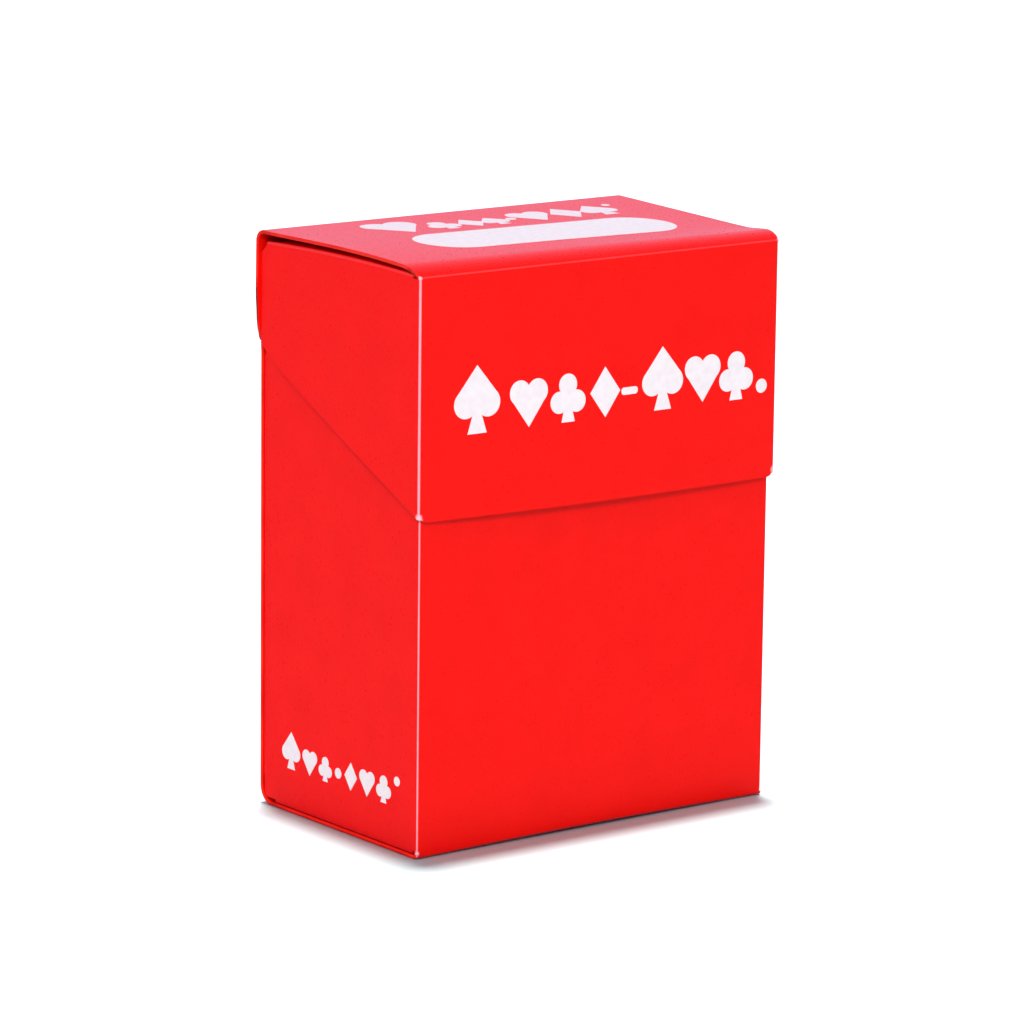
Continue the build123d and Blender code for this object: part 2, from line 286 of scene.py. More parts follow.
def bisect(bm, spot, direction):
    """Cuts the whole mesh along a plane."""
    everything = bm.verts[:] + bm.edges[:] + bm.faces[:]
    bmesh.ops.bisect_plane(bm, geom=everything, plane_co=spot, plane_no=direction)


def cut_to_grid(bm, outline, path):
    """Cuts a flat sheet into rows where the path needs them, and about GRID across."""
    along = [a for a, _c, _cut in outline]
    across = [c for _a, c, _cut in outline]
    span = max(across) - min(across)
    cells = max(1, round(span / GRID))
    for distance in path.rows(min(along), max(along)):
        bisect(bm, (distance, 0, 0), (1, 0, 0))
    for i in range(1, cells):
        bisect(bm, (0, min(across) + span * i / cells, 0), (0, 1, 0))
    bmesh.ops.remove_doubles(bm, verts=bm.verts[:], dist=LEVEL)
    bmesh.ops.recalc_face_normals(bm, faces=bm.faces[:])


def map_fold(bm, low, high):
    """Map whose u runs from -0.5 to 0.5 over the creased stretch of the path."""
    fold_map = bm.loops.layers.uv.new("fold")
    for face in bm.faces:
        for loop in face.loops:
            share = (loop.vert.co.x - low) / (high - low)
            loop[fold_map].uv = (share - 0.5, loop.vert.co.y / FOLD_MAP_SPAN)


def choose_slots(bm, crease):
    """Material slot of each face of a flat sheet; crease is its (low, high) or None."""
    for face in bm.faces:
        face.smooth = True
        depths = [v.co.z for v in face.verts]
        level = max(depths) - min(depths) < LEVEL
        on_outer = level and depths[0] > -LEVEL
        on_inner = level and depths[0] < -sheet + LEVEL
        face.material_index = FACE if on_outer or on_inner else CUT_EDGE
        middle = sum(v.co.x for v in face.verts) / len(face.verts)
        if crease and crease[0] < middle < crease[1] and not on_inner:
            face.material_index = CREASE


def wrapped_normals(bm, flat, surface):
    """Normals of the wrapped sheet: the surface's on its faces, averaged on cut edges."""
    normals = []
    for vert, co in zip(bm.verts, flat):
        rim = [f.normal for f in vert.link_faces if f.material_index == CUT_EDGE]
        total = sum(rim, Vector())
        if co.z > -LEVEL:
            normals.append(surface.normal(co.x, co.y))
        elif co.z < -sheet + LEVEL:
            normals.append(-surface.normal(co.x, co.y))
        elif total.length > 0:
            normals.append(total.normalized())
        else:
            normals.append(vert.normal.copy())
    return normals


def new_piece(name, bm, materials):
    """Object made from bm, which it frees."""
    mesh = bpy.data.meshes.new(name)
    bm.to_mesh(mesh)
    bm.free()
    for material in materials:
        mesh.materials.append(material)
    piece = bpy.data.objects.new(name, mesh)
    bpy.context.scene.collection.objects.link(piece)
    return piece


def sheet_piece(name, surface, outline, body, nodes, materials):
    """Closed sheet with the given outline of (along, across, cut) points.

    cut says that the outline's edge to the next point is a free die-cut edge, which is
    rounded; the other edges butt against the next panel. materials holds the face's and
    the cut edge's material, and may hold a crease's with its (low, high) stretch.
    """
    bm = flat_sheet(outline)
    cut_to_grid(bm, outline, surface.path)
    crease = materials.get("crease_span")
    if crease:
        map_fold(bm, *crease)
    choose_slots(bm, crease)

    flat = [v.co.copy() for v in bm.verts]
    for vert, co in zip(bm.verts, flat):
        vert.co = surface.point(co.x, co.y, -co.z)
    if bm.calc_volume(signed=True) < 0:
        bmesh.ops.reverse_faces(bm, faces=bm.faces[:])
    bm.normal_update()
    normals = wrapped_normals(bm, flat, surface)

    slots = [materials.get(key, materials["face"]) for key in ("face", "edge", "crease")]
    piece = new_piece(name, bm, slots)
    piece.data.normals_split_custom_set_from_vertices(normals)
    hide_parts(*nodes)
    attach(piece, body)


def dome(value, low, high):
    """0 at both ends of a span and 1 in its middle."""
    return sin(pi * clamp((value - low) / (high - low)))


def clamp(share):
    return min(1.0, max(0.0, share))


# ---------------------------------------------------------------- outlines
def rectangle(low_along, high_along, low_across, high_across, cuts):
    """Outline of a rectangle; cuts flags with 1 the die-cut ones of its low-across,
    high-along, high-across and low-along edges."""
    flags = [c == "1" for c in cuts]
    return [
        (low_along, low_across, flags[0]),
        (high_along, low_across, flags[1]),
        (high_along, high_across, flags[2]),
        (low_along, high_across, flags[3]),
    ]


def arc_points(centre, radius, start, end, steps):
    """Points round an arc, both ends included."""
    angles = [start + (end - start) * i / steps for i in range(steps + 1)]
    return [(centre[0] + radius * cos(a), centre[1] + radius * sin(a)) for a in angles]


def rounded(corners, radii, steps=6):
    """A polygon of (along, across) corners with the listed radii; 0 leaves one sharp."""
    points = []
    for i, (corner, radius) in enumerate(zip(corners, radii)):
        here = Vector(corner)
        if radius == 0:
            points.append((here.x, here.y))
            continue
        before = (Vector(corners[i - 1]) - here).normalized()
        after = (Vector(corners[(i + 1) % len(corners)]) - here).normalized()
        half = before.angle(after) / 2
        reach = radius / tan(half)
        centre = here + (before + after).normalized() * radius / sin(half)
        first, last = here + before * reach - centre, here + after * reach - centre
        start = atan2(first.y, first.x)
        turn = (atan2(last.y, last.x) - start + pi) % (2 * pi) - pi
        points += arc_points(centre, radius, start, start + turn, steps)
    return points


def cut_outline(points, butts=lambda a, b: False):
    """Outline whose edges are all die-cut, apart from those that butts() picks."""
    ends = points[1:] + points[:1]
    return [(*a, not butts(Vector(a), Vector(b))) for a, b in zip(points, ends)]


def on_fold(*places):
    """Test for the outline edges that lie on a fold at one of these distances along."""
    return lambda a, b: any(abs(a.x - p) + abs(b.x - p) < NEAR for p in places)


# ---------------------------------------------------------------- materials
GRAIN_CELLS = 2100.0  # sand grain of the sheet, about 0.5 mm across; all cells are per metre
GRAIN_DEPTH = 0.05 * MM
WAVE_CELLS = 26.0  # slow waviness of the flat panels
WAVE_DEPTH = 0.5 * MM
MOTTLE_CELLS = 140.0  # drift of the colour
RAGGED_CELLS = 1800.0  # broken edge of a whitened corner
UNEVEN_CELLS = 420.0  # unevenness of a whitened fold
INK_CELLS = 900.0
INK_GRAIN_DEPTH = 0.02 * MM
POLYPROPYLENE_IOR, INK_IOR = 1.49, 1.5
RED_DARK = (0.80, 0.0024, 0.0009, 1)
RED_LIGHT = (0.84, 0.0032, 0.0014, 1)
EDGE_DARK = (0.66, 0.007, 0.003, 1)
EDGE_LIGHT = (0.80, 0.022, 0.009, 1)
WEB_DARK = (0.76, 0.012, 0.010, 1)
WEB_LIGHT = (0.86, 0.040, 0.036, 1)
DIVIDER_DARK = (0.70, 0.0036, 0.0012, 1)
DIVIDER_LIGHT = (0.78, 0.0050, 0.002, 1)
# Pale pink of stress whitening at the stressed corners and along the folds; along the folds it
# also stands in for the highlight on their rounding, a painted highlight.
WHITENED_AND_HIGHLIT = (0.76, 0.40, 0.47, 1)
# Corners whitened where three folds meet: (|x|, y, z), and the reach of the whitening
STRESS_CORNERS = (
    ((ear_x, lid_front_y, lid_edge + 1.0 * MM), 1.05 * MM),
    ((ear_x, lid_front_y, fold_top - 0.3 * MM), 0.6 * MM),
    ((tray_x, front_y, 1.0 * MM), 0.6 * MM),
)


def new_material(name):
    material = bpy.data.materials.new(name)
    material.use_nodes = True
    tree = material.node_tree
    tree.nodes.clear()
    out = tree.nodes.new("ShaderNodeOutputMaterial")
    shader = tree.nodes.new("ShaderNodeBsdfPrincipled")
    tree.links.new(shader.outputs["BSDF"], out.inputs["Surface"])
    return material, tree, shader


def add_node(tree, kind, **values):
    """A node with its properties, and inputs by name, set."""
    node = tree.nodes.new(kind)
    for key, value in values.items():
        if key in node.inputs:
            node.inputs[key].default_value = value
        else:
            setattr(node, key, value)
    return node


def position(tree):
    """Object coordinates, in metres."""
    return add_node(tree, "ShaderNodeTexCoord").outputs["Object"]


def noise(tree, where, cells_per_metre, detail=2.0, roughness=0.5):
    node = add_node(tree, "ShaderNodeTexNoise", Scale=cells_per_metre, Detail=detail,
                    Roughness=roughness)
    tree.links.new(where, node.inputs["Vector"])
    return node.outputs["Fac"]


def ramp(tree, value, stops):
    """Colour ramp of (position, colour) stops."""
    node = add_node(tree, "ShaderNodeValToRGB")
    points = node.color_ramp.elements
    while len(points) < len(stops):
        points.new(0.5)
    for point, (place, colour) in zip(points, stops):
        point.position = place
        point.color = colour
    tree.links.new(value, node.inputs["Fac"])
    return node.outputs["Color"]


def spread(tree, value, low, high, start=0.0, end=1.0, shape="LINEAR"):
    """Maps a value that runs from start to end onto low to high."""
    node = add_node(tree, "ShaderNodeMapRange", interpolation_type=shape)
    for socket, limit in zip(("From Min", "From Max", "To Min", "To Max"),
                             (start, end, low, high)):
        node.inputs[socket].default_value = limit
    tree.links.new(value, node.inputs["Value"])
    return node.outputs["Result"]


def bump(tree, height, distance, strength, below=None):
    node = add_node(tree, "ShaderNodeBump", Strength=strength, Distance=distance)
    tree.links.new(height, node.inputs["Height"])
    if below is not None:
        tree.links.new(below, node.inputs["Normal"])
    return node.outputs["Normal"]


def blend_colours(tree, factor, first, second):
    """Mix of a colour socket with a fixed colour."""
    node = add_node(tree, "ShaderNodeMix", data_type="RGBA")
    tree.links.new(factor, node.inputs["Factor"])
    # Mix has a pair of sockets for each data type: 6 and 7 are the colours, 2 their result.
    tree.links.new(first, node.inputs[6])
    node.inputs[7].default_value = second
    return node.outputs[2]


def maths(tree, operation, first, second=None):
    """Result of an operation on a socket and, if it takes two, a socket or a number."""
    node = add_node(tree, "ShaderNodeMath", operation=operation)
    tree.links.new(first, node.inputs[0])
    if isinstance(second, float):
        node.inputs[1].default_value = second
    elif second is not None:
        tree.links.new(second, node.inputs[1])
    return node.outputs["Value"]


def corner_stress(tree, where):
    """1 at each stressed corner, falling to 0 at the reach that goes with it."""
    split = tree.nodes.new("ShaderNodeSeparateXYZ")
    tree.links.new(where, split.inputs["Vector"])
    join = tree.nodes.new("ShaderNodeCombineXYZ")
    tree.links.new(maths(tree, "ABSOLUTE", split.outputs["X"]), join.inputs["X"])
    tree.links.new(split.outputs["Y"], join.inputs["Y"])
    tree.links.new(split.outputs["Z"], join.inputs["Z"])
    nearest = None
    for corner, reach in STRESS_CORNERS:
        away = add_node(tree, "ShaderNodeVectorMath", operation="DISTANCE")
        tree.links.new(join.outputs["Vector"], away.inputs[0])
        away.inputs[1].default_value = corner
        share = maths(tree, "DIVIDE", away.outputs["Value"], reach)
        nearest = share if nearest is None else maths(tree, "MINIMUM", nearest, share)
    ragged = spread(tree, noise(tree, where, RAGGED_CELLS, 2.0), 0.75, 1.25)
    reached = maths(tree, "MULTIPLY", nearest, ragged)
    return spread(tree, reached, 0.95, 0.0, start=0.45, shape="SMOOTHSTEP")


def fold_whitening_and_highlight(tree, where, peak, half_width):
    """Strength of the pale line along the middle of a fold: stress-whitened, with a painted
    highlight in it.
    """
    fold = add_node(tree, "ShaderNodeUVMap", uv_map="fold")
    split = tree.nodes.new("ShaderNodeSeparateXYZ")
    tree.links.new(fold.outputs["UV"], split.inputs["Vector"])
    off_centre = maths(tree, "ABSOLUTE", split.outputs["X"])
    fade = spread(tree, off_centre, peak, 0.0, start=0.35 * half_width, end=half_width,
                  shape="SMOOTHSTEP")
    uneven = spread(tree, noise(tree, where, UNEVEN_CELLS, 4.0, 0.7), 0.62, 1.25)
    return maths(tree, "MINIMUM", maths(tree, "MULTIPLY", fade, uneven), 1.0)


def sheet_material(name, dark, light, grain_strength=0.75, roughness=(0.20, 0.42),
                   stressed=True, whitening_and_highlight=None):
    """Satin polypropylene: slow colour drift, sand grain and a barely wavy surface.

    whitening is the (peak, half width) of a pale line along the middle of a fold: a
    stress-whitened line with a painted highlight mixed into its colour.
    """
    material, tree, shader = new_material(name)
    where = position(tree)
    colour = ramp(tree, noise(tree, where, MOTTLE_CELLS, 3.0), ((0.3, dark), (0.7, light)))
    if stressed:
        colour = blend_colours(tree, corner_stress(tree, where), colour, WHITENED_AND_HIGHLIT)
    if whitening_and_highlight:
        line = fold_whitening_and_highlight(tree, where, *whitening_and_highlight)
        colour = blend_colours(tree, line, colour, WHITENED_AND_HIGHLIT)
    tree.links.new(colour, shader.inputs["Base Color"])
    grain = noise(tree, where, GRAIN_CELLS, 2.0, 0.55)
    tree.links.new(spread(tree, grain, *roughness), shader.inputs["Roughness"])
    waves = bump(tree, noise(tree, where, WAVE_CELLS, 1.0), WAVE_DEPTH, 0.08)
    sand = bump(tree, grain, GRAIN_DEPTH, grain_strength, waves)
    tree.links.new(sand, shader.inputs["Normal"])
    shader.inputs["IOR"].default_value = POLYPROPYLENE_IOR
    shader.inputs["Specular IOR Level"].default_value = 0.12
    return material


def ink_material(name, low, high, roughness):
    """White screen-printed ink over the sheet's grain, a little uneven in cover."""
    material, tree, shader = new_material(name)
    where = position(tree)
    colour = ramp(tree, noise(tree, where, INK_CELLS, 4.0), ((0.25, low), (0.75, high)))
    tree.links.new(colour, shader.inputs["Base Color"])
    grain = noise(tree, where, GRAIN_CELLS, 3.0, 0.6)
    tree.links.new(spread(tree, grain, *roughness), shader.inputs["Roughness"])
    tree.links.new(bump(tree, grain, INK_GRAIN_DEPTH, 0.25), shader.inputs["Normal"])
    shader.inputs["IOR"].default_value = INK_IOR
    return material


red_face = sheet_material("red_sheet", RED_DARK, RED_LIGHT)
red_edge = sheet_material("red_cut_edge", EDGE_DARK, EDGE_LIGHT, 0.3, (0.35, 0.5))
# The pale lines along the folds are stress-whitened, with a painted highlight mixed into their
# colour.
sharp_fold = sheet_material("whitened_and_highlit_fold", RED_DARK, RED_LIGHT, whitening_and_highlight=(0.78, 0.30))
tray_fold = sheet_material("tray_whitened_and_highlit_fold", RED_DARK, RED_LIGHT, whitening_and_highlight=(0.72, 0.20))
faint_fold = sheet_material("faint_fold", RED_DARK, RED_LIGHT, whitening_and_highlight=(0.09, 0.40))
hinge_web = sheet_material("hinge_web", WEB_DARK, WEB_LIGHT, 0.3, stressed=False)
divider_face = sheet_material("divider_sheet", DIVIDER_DARK, DIVIDER_LIGHT, stressed=False)
white_ink = ink_material("white_ink", (0.76, 0.64, 0.66, 1), (0.84, 0.72, 0.74, 1), (0.35, 0.5))
write_on = ink_material("write_on_white", (0.76, 0.67, 0.70, 1), (0.84, 0.75, 0.78, 1),
                        (0.55, 0.7))
plain = {"face": red_face, "edge": red_edge}


def creased(low, high, material):
    """Materials of a fold that runs from low to high along the path."""
    return {**plain, "crease": material, "crease_span": (low, high)}


# ---------------------------------------------------------------- panels round the box
# Marks of a ring's path, where one run ends and the next starts: 0-1 left glue flap,
# 2-3 left side, 4-5 front, 6-7 right side, 8-9 right glue flap, with the folds between.
def ring(x, front, bow, lift):
    """Panels that run round the tray or the lid, with outer faces at x and front."""
    half = [
        ("line", flap_reach),
        ("bend", glue_radius, QUARTER),
        ("line", glue_y - front - sheet),
        ("bend", sheet, QUARTER),
    ]
    start = (-x + glue_radius + flap_reach, back_y - sheet)
    path = FoldPath(start, pi, half + [("line", 2 * (x - sheet))] + half[::-1])
    return Surface(path, "z", lambda along, across: bow(path.marks, along, across), lift)


def ring_spot(marks, front, sign, y):
    """Distance along a ring of depth y on its left (-1) or right (1) side."""
    if sign < 0:
        return marks[2] + glue_y - y
    return marks[6] + y - front - sheet


def side_run(marks, along):
    """Low and high marks of the side that along lies on, or None."""
    for low, high in ((marks[2], marks[3]), (marks[6], marks[7])):
        if low < along < high:
            return low, high
    return None


def glue_flap(piece_name, node, surface, sign, low_z, high_z, body, chamfer, root_z):
    """Flap turned in behind the side, with its free end's corners cut off.

    Its lower edge runs slanting round the bend, from root_z at the side to low_z.
    """
    marks = surface.path.marks
    free, bent, root = marks[:3] if sign < 0 else marks[:6:-1]
    inset = free - sign * chamfer
    points = [
        (root, root_z),
        (bent, low_z),
        (inset, low_z),
        (free, low_z + chamfer),
        (free, high_z - chamfer),
        (inset, high_z),
        (root, high_z),
    ]
    outline = cut_outline(points, on_fold(root))
    sheet_piece(piece_name, surface, outline, body, [node], plain)


def turned_in_flap(piece_name, node, body, sign, upper, root, fold_y, flap_y, chamfer):
    """Flap folded in from a side's top (upper) or bottom edge, with its faint fold.

    root is the fold's start as (x, z). The fold and the flap beyond it each have their
    own (low, high) depths.
    """
    runs = [("bend", sheet, QUARTER), ("line", dust_high.x - dust_low.x - sheet)]
    path = FoldPath(root, QUARTER if upper else -QUARTER, runs)
    bent, end = path.marks[1:]
    face = Surface(path, "y", mirror=root[0] if (sign > 0) != upper else None,
                   lift=ear_lift if upper else arch)
    points = [
        (0.0, fold_y[0]),
        (bent, fold_y[0]),
        (bent, flap_y[0]),
        (end - chamfer, flap_y[0]),
        (end, flap_y[0] + chamfer),
        (end, flap_y[1] - chamfer),
        (end - chamfer, flap_y[1]),
        (bent, flap_y[1]),
        (bent, fold_y[1]),
        (0.0, fold_y[1]),
    ]
    outline = cut_outline(points, on_fold(0.0))
    sheet_piece(piece_name, face, outline, body, [node],
                creased(0.0, bent, faint_fold))


# ---------------------------------------------------------------- tray
def arch(spot):
    """Rise of the tray's lower front edge, gone a little way up and back from it."""
    up = clamp(1 - spot.z / ARCH_HEIGHT)
    back = clamp(1 - (spot.y - front_y) / ARCH_DEPTH)
    return ARCH * dome(spot.x, -tray_x, tray_x) * (up * back) ** 2


def tray_bow(marks, along, across):
    """The sides draw in and the front stands out a little in the middle."""
    rise = dome(across, side_low.z, hinge_z + BOW_ABOVE_HINGE)
    side = side_run(marks, along)
    if side:
        return -SIDE_BOW * dome(along, *side) * rise
    if marks[4] < along < marks[5]:
        return FRONT_BOW * dome(along, marks[4], marks[5]) * rise
    return 0.0


tray = ring(tray_x, front_y, tray_bow, arch)
tm = tray.path.marks


def tray_side(name, sign):
    """Side panel; above the hinge it leans in from both edges, to go inside the lid."""
    shoulder = crease_high.z
    low_y, high_y = side_low.y, side_high.y
    corners = [
        (low_y, side_low.z),
        (high_y, side_low.z),
        (high_y, shoulder),
        (high_y - SIDE_BACK_LEAN, side_high.z),
        (low_y + SIDE_FRONT_LEAN, side_high.z),
        (low_y, shoulder),
    ]
    radii = (0, HEEL, 0, SIDE_CORNER, SIDE_CORNER, 0)
    points = [(ring_spot(tm, front_y, sign, y), z) for y, z in rounded(corners, radii)]

    def butts(a, b):
        """The lower edge, and the upright edges up to the shoulder."""
        top = max(a.y, b.y)
        upright = abs(a.x - b.x) < NEAR
        return top < side_low.z + NEAR or (upright and top <= shoulder + NEAR)

    sheet_piece(f"tray_{name}_side", tray, cut_outline(points, butts), "box",
                [f"{name}_side_panel"], plain)


def tray_front():
    """Front panel with its thumb notch."""
    low, high = tm[4], tm[5]
    middle = (low + high) / 2
    top = front_high.z
    reach = (NOTCH_RADIUS**2 - NOTCH_LIFT**2) ** 0.5
    start = atan2(-NOTCH_LIFT, reach)
    notch = arc_points((middle, top + NOTCH_LIFT), NOTCH_RADIUS, start, -pi - start,
                       NOTCH_STEPS)
    # Each half is rounded with its end of the notch as a neighbour, which is then dropped.
    right = rounded(
        [(low, sheet), (high, sheet), (high, top), (middle + reach, top)],
        (0, 0, FRONT_CORNER, 0),
    )[:-1]
    left = rounded(
        [(middle - reach, top), (low, top), (low, sheet), (middle, sheet)],
        (0, FRONT_CORNER, 0, 0),
    )[1:-2]
    outline = cut_outline(
        right + notch + left, lambda a, b: max(a.y, b.y) <= top - FRONT_CORNER)
    sheet_piece("tray_front", tray, outline, "box", ["front_panel"], plain)


def tray_crease(name, low, high):
    """Vertical fold between the front and a side, with a pale stress-whitened line along its
    middle that also carries a painted highlight.
    """
    outline = rectangle(low, high, crease_low.z, crease_high.z, "0010")
    sheet_piece(f"tray_{name}_front_fold", tray, outline, "box",
                [f"{name}_front_crease"], creased(low, high, tray_fold))


for side_name, side_sign in SIDES:
    tray_side(side_name, side_sign)
    low, high = (3, 4) if side_sign < 0 else (5, 6)
    tray_crease(side_name, tm[low], tm[high])
    glue_flap(f"tray_{side_name}_glue_flap", f"{side_name}_glue_flap", tray, side_sign,
              glue_low.z, glue_high.z, "box", GLUE_FLAP_CHAMFER, glue_low.z)
    depths = (floor_flap_low.y, floor_flap_high.y)
    turned_in_flap(f"tray_{side_name}_bottom_flap", f"{side_name}_bottom_flap", "box",
                   side_sign, False, (side_sign * tray_x, side_low.z), depths, depths,
                   BOTTOM_FLAP_CHAMFER)
tray_front()

# The strip that wraps the tray: front fold, bottom, soft bend and back
wrap_path = FoldPath(
    (front_y, sheet),
    -QUARTER,
    [
        ("bend", sheet, QUARTER),
        ("line", back_y - front_y - sheet - bottom_radius),
        ("bend", bottom_radius, QUARTER),
        ("line", hinge_low.z - bottom_radius),
    ],
)
wm = wrap_path.marks


def wrap_bow(along, across):
    """The back is drawn in a little in its middle."""
    if along <= wm[3]:
        return 0.0
    return -BACK_BOW * dome(along, wm[3], wm[4]) * cos(pi * across / (2 * strip_x)) ** 0.7


tray_wrap = Surface(wrap_path, "x", wrap_bow, arch)


def wrap_piece(name, node, run, half_width, materials):
    """One run of the strip that wraps the tray, die-cut along its sides."""
    outline = rectangle(wm[run], wm[run + 1], -half_width, half_width, "1010")
    sheet_piece(name, tray_wrap, outline, "box", [node], materials)


wrap_piece("tray_front_bottom_fold", "front_bottom_crease", 0, tray_x,
           creased(wm[0], wm[1], faint_fold))
wrap_piece("tray_bottom", "bottom_panel", 1, strip_x, plain)
wrap_piece("tray_back_bottom_bend", "back_bottom_bend", 2, strip_x, plain)
wrap_piece("tray_back", "back_panel", 3, strip_x, plain)


# ---------------------------------------------------------------- lid
def lid_bow(marks, along, across):
    """The lid's walls stand off the tray most at their free lower edges."""
    open_end = clamp((fold_top - across) / (fold_top - lid_edge))
    if marks[4] < along < marks[5]:
        return LID_FRONT_BOW * dome(along, marks[4], marks[5]) * open_end**1.6
    side = side_run(marks, along)
    if side:
        return EAR_BOW * dome(along, *side) * open_end
    return 0.0


def ear_lift(spot):
    """The left ear's top fold sits a little high between its ends."""
    up = clamp((spot.z - fold_top + EAR_LIFT_HEIGHT) / EAR_LIFT_HEIGHT)
    along = dome(spot.y, lid_front_y + sheet, glue_y)
    return EAR_LIFT * up**2 * along if spot.x < 0 else 0.0


lid_ring = ring(ear_x, lid_front_y, lid_bow, ear_lift)
lm = lid_ring.path.marks
ear_end_z = hinge_z + EAR_END_RISE


def lid_ear(name, sign):
    """Ear with its slanted lower edge, which steepens towards the hinge."""
    front, back = ear_low.y, ear_high.y
    start = Vector((front, lid_edge + CORNER_RISE))
    knee = Vector((back_y - EAR_KNEE_REACH, hinge_z - EAR_KNEE_DROP))
    end = Vector((back, ear_end_z))
    control = knee + (knee - start).normalized() * (end - knee).length * 0.5
    shares = [i / EAR_KNEE_STEPS for i in range(1, EAR_KNEE_STEPS + 1)]
    curve = [knee.lerp(control, t).lerp(control.lerp(end, t), t) for t in shares]
    corners = [tuple(p) for p in (start, knee, *curve)]
    corners += [
        (back, crease_top - EAR_CHAMFER),
        (back - EAR_CHAMFER, crease_top),
        (front, crease_top),
    ]
    points = [(ring_spot(lm, lid_front_y, sign, y), z) for y, z in corners]
    on_side_fold = on_fold(*(ring_spot(lm, lid_front_y, sign, y) for y in (front, back)))
    outline = cut_outline(
        points, lambda a, b: on_side_fold(a, b) or min(a.y, b.y) > crease_top - NEAR)
    sheet_piece(f"lid_{name}_ear_panel", lid_ring, outline, "lid", [f"lid_{name}_ear"],
                plain)


def front_edge_z(along):
    """Lower edge of the lid's front, which sags a little from left to right."""
    share = (along - lm[4]) / (lm[5] - lm[4])
    return lid_edge + EDGE_LEFT_RISE * (1 - share) ** 2 - EDGE_RIGHT_SAG * share


def lid_crease(name, low, high, front_end):
    """Vertical fold of the lid; its lower end rises from the front to the ear."""
    steps = 6
    start_z = front_edge_z(front_end) + PANEL_RISE
    end_z = lid_edge + CORNER_RISE
    points = []
    for i in range(steps + 1):
        along = low + (high - low) * i / steps
        share = abs(along - front_end) / (high - low)
        points.append((along, start_z + (end_z - start_z) * share))
    points += [(high, crease_top), (low, crease_top)]
    outline = cut_outline(points, lambda a, b: max(a.y, b.y) > end_z + NEAR)
    sheet_piece(f"lid_{name}_front_fold", lid_ring, outline, "lid",
                [f"lid_{name}_crease"], creased(low, high, sharp_fold))


def lid_front():
    """Front panel of the lid; its lower corners round up into the folds."""
    low, high = lm[4], lm[5]
    steps, cells = 5, 12
    corner = [
        (PANEL_EASE * i / steps, PANEL_RISE * (1 - i / steps) ** 2) for i in range(steps + 1)
    ]
    points = [(low + run, front_edge_z(low + run) + lift) for run, lift in corner]
    for i in range(1, cells):
        along = low + (high - low) * i / cells
        points.append((along, front_edge_z(along)))
    points += [(high - run, front_edge_z(high - run) + lift) for run, lift in reversed(corner)]
    points += [(high, crease_top), (low, crease_top)]
    outline = cut_outline(points, lambda a, b: max(a.y, b.y) > lid_edge + 2 * PANEL_RISE)
    sheet_piece("lid_front", lid_ring, outline, "lid", ["lid_front_panel"], plain)


for side_name, side_sign in SIDES:
    lid_ear(side_name, side_sign)
    if side_sign < 0:
        lid_crease(side_name, lm[3], lm[4], lm[4])
    else:
        lid_crease(side_name, lm[5], lm[6], lm[5])
    glue_flap(f"lid_{side_name}_inner_flap", f"lid_{side_name}_glue_flap", lid_ring,
              side_sign, lid_glue_low.z, lid_glue_high.z, "lid", LID_GLUE_CHAMFER, ear_end_z)
    turned_in_flap(f"lid_{side_name}_top_flap", f"lid_{side_name}_dust_flap", "lid",
                   side_sign, True, (side_sign * ear_x, crease_top),
                   (dust_low.y, dust_high.y),
                   (ear_low.y + DUST_FLAP_INSET, ear_high.y - DUST_FLAP_INSET),
                   DUST_FLAP_CHAMFER)
lid_front()

# The strip that wraps the lid, from the hinge up the back, over the top to the front fold
top_start = Vector((
    back_y - top_radius * (1 + sin(TOP_SLOPE)),
    lid_top - top_radius * (1 - cos(TOP_SLOPE)),
))
top_run = (top_start.x - lid_front_y - SHOULDER_LENGTH) / cos(TOP_SLOPE)
shoulder_top = top_start - top_run * Vector((cos(TOP_SLOPE), sin(TOP_SLOPE)))
# The shoulder is the arc that leaves the top smoothly and runs smoothly into the fold. Its
# slope there is solved by repetition, from a first guess.
fold_slope = radians(33)
for _ in range(20):
    fold_start = Vector((
        lid_front_y + sheet * (1 - sin(fold_slope)),
        crease_top + sheet * cos(fold_slope),
    ))
    drop = shoulder_top - fold_start
    fold_slope = 2 * atan2(drop.y, drop.x) - TOP_SLOPE
shoulder_radius = drop.length / (2 * sin((fold_slope - TOP_SLOPE) / 2))
lid_wrap_path = FoldPath(
    (back_y, hinge_high.z),
    QUARTER,
    [
        ("line", lid_top - top_radius - hinge_high.z),
        ("bend", top_radius, QUARTER + TOP_SLOPE),
        ("line", top_run),
        ("bend", shoulder_radius, fold_slope - TOP_SLOPE),
        ("bend", sheet, QUARTER - fold_slope),
    ],
)
lw = lid_wrap_path.marks


def top_bow(along, across):
    """The top is domed along its left edge and falls steadily along its right."""
    share = clamp((along - lw[2]) / (lw[4] - lw[2]))
    tilt = -across / lid_strip_x
    if tilt > 0:
        return TOP_LEFT_RISE * tilt * sin(pi * share**1.3)
    fall = share / TOP_RIGHT_CREST
    if share >= TOP_RIGHT_CREST:
        fall = cos(QUARTER * (share - TOP_RIGHT_CREST) / (1 - TOP_RIGHT_CREST)) ** 2
    return TOP_RIGHT_SAG * tilt * fall


lid_wrap = Surface(lid_wrap_path, "x", top_bow)


def strip_piece(name, node, half_outline, materials):
    """Stretch of the lid's strip, from (along, half width) points listed along it."""
    points = [(a, -h) for a, h in half_outline] + [(a, h) for a, h in reversed(half_outline)]
    outline = cut_outline(points, on_fold(half_outline[0][0], half_outline[-1][0]))
    sheet_piece(name, lid_wrap, outline, "lid", [node], materials)


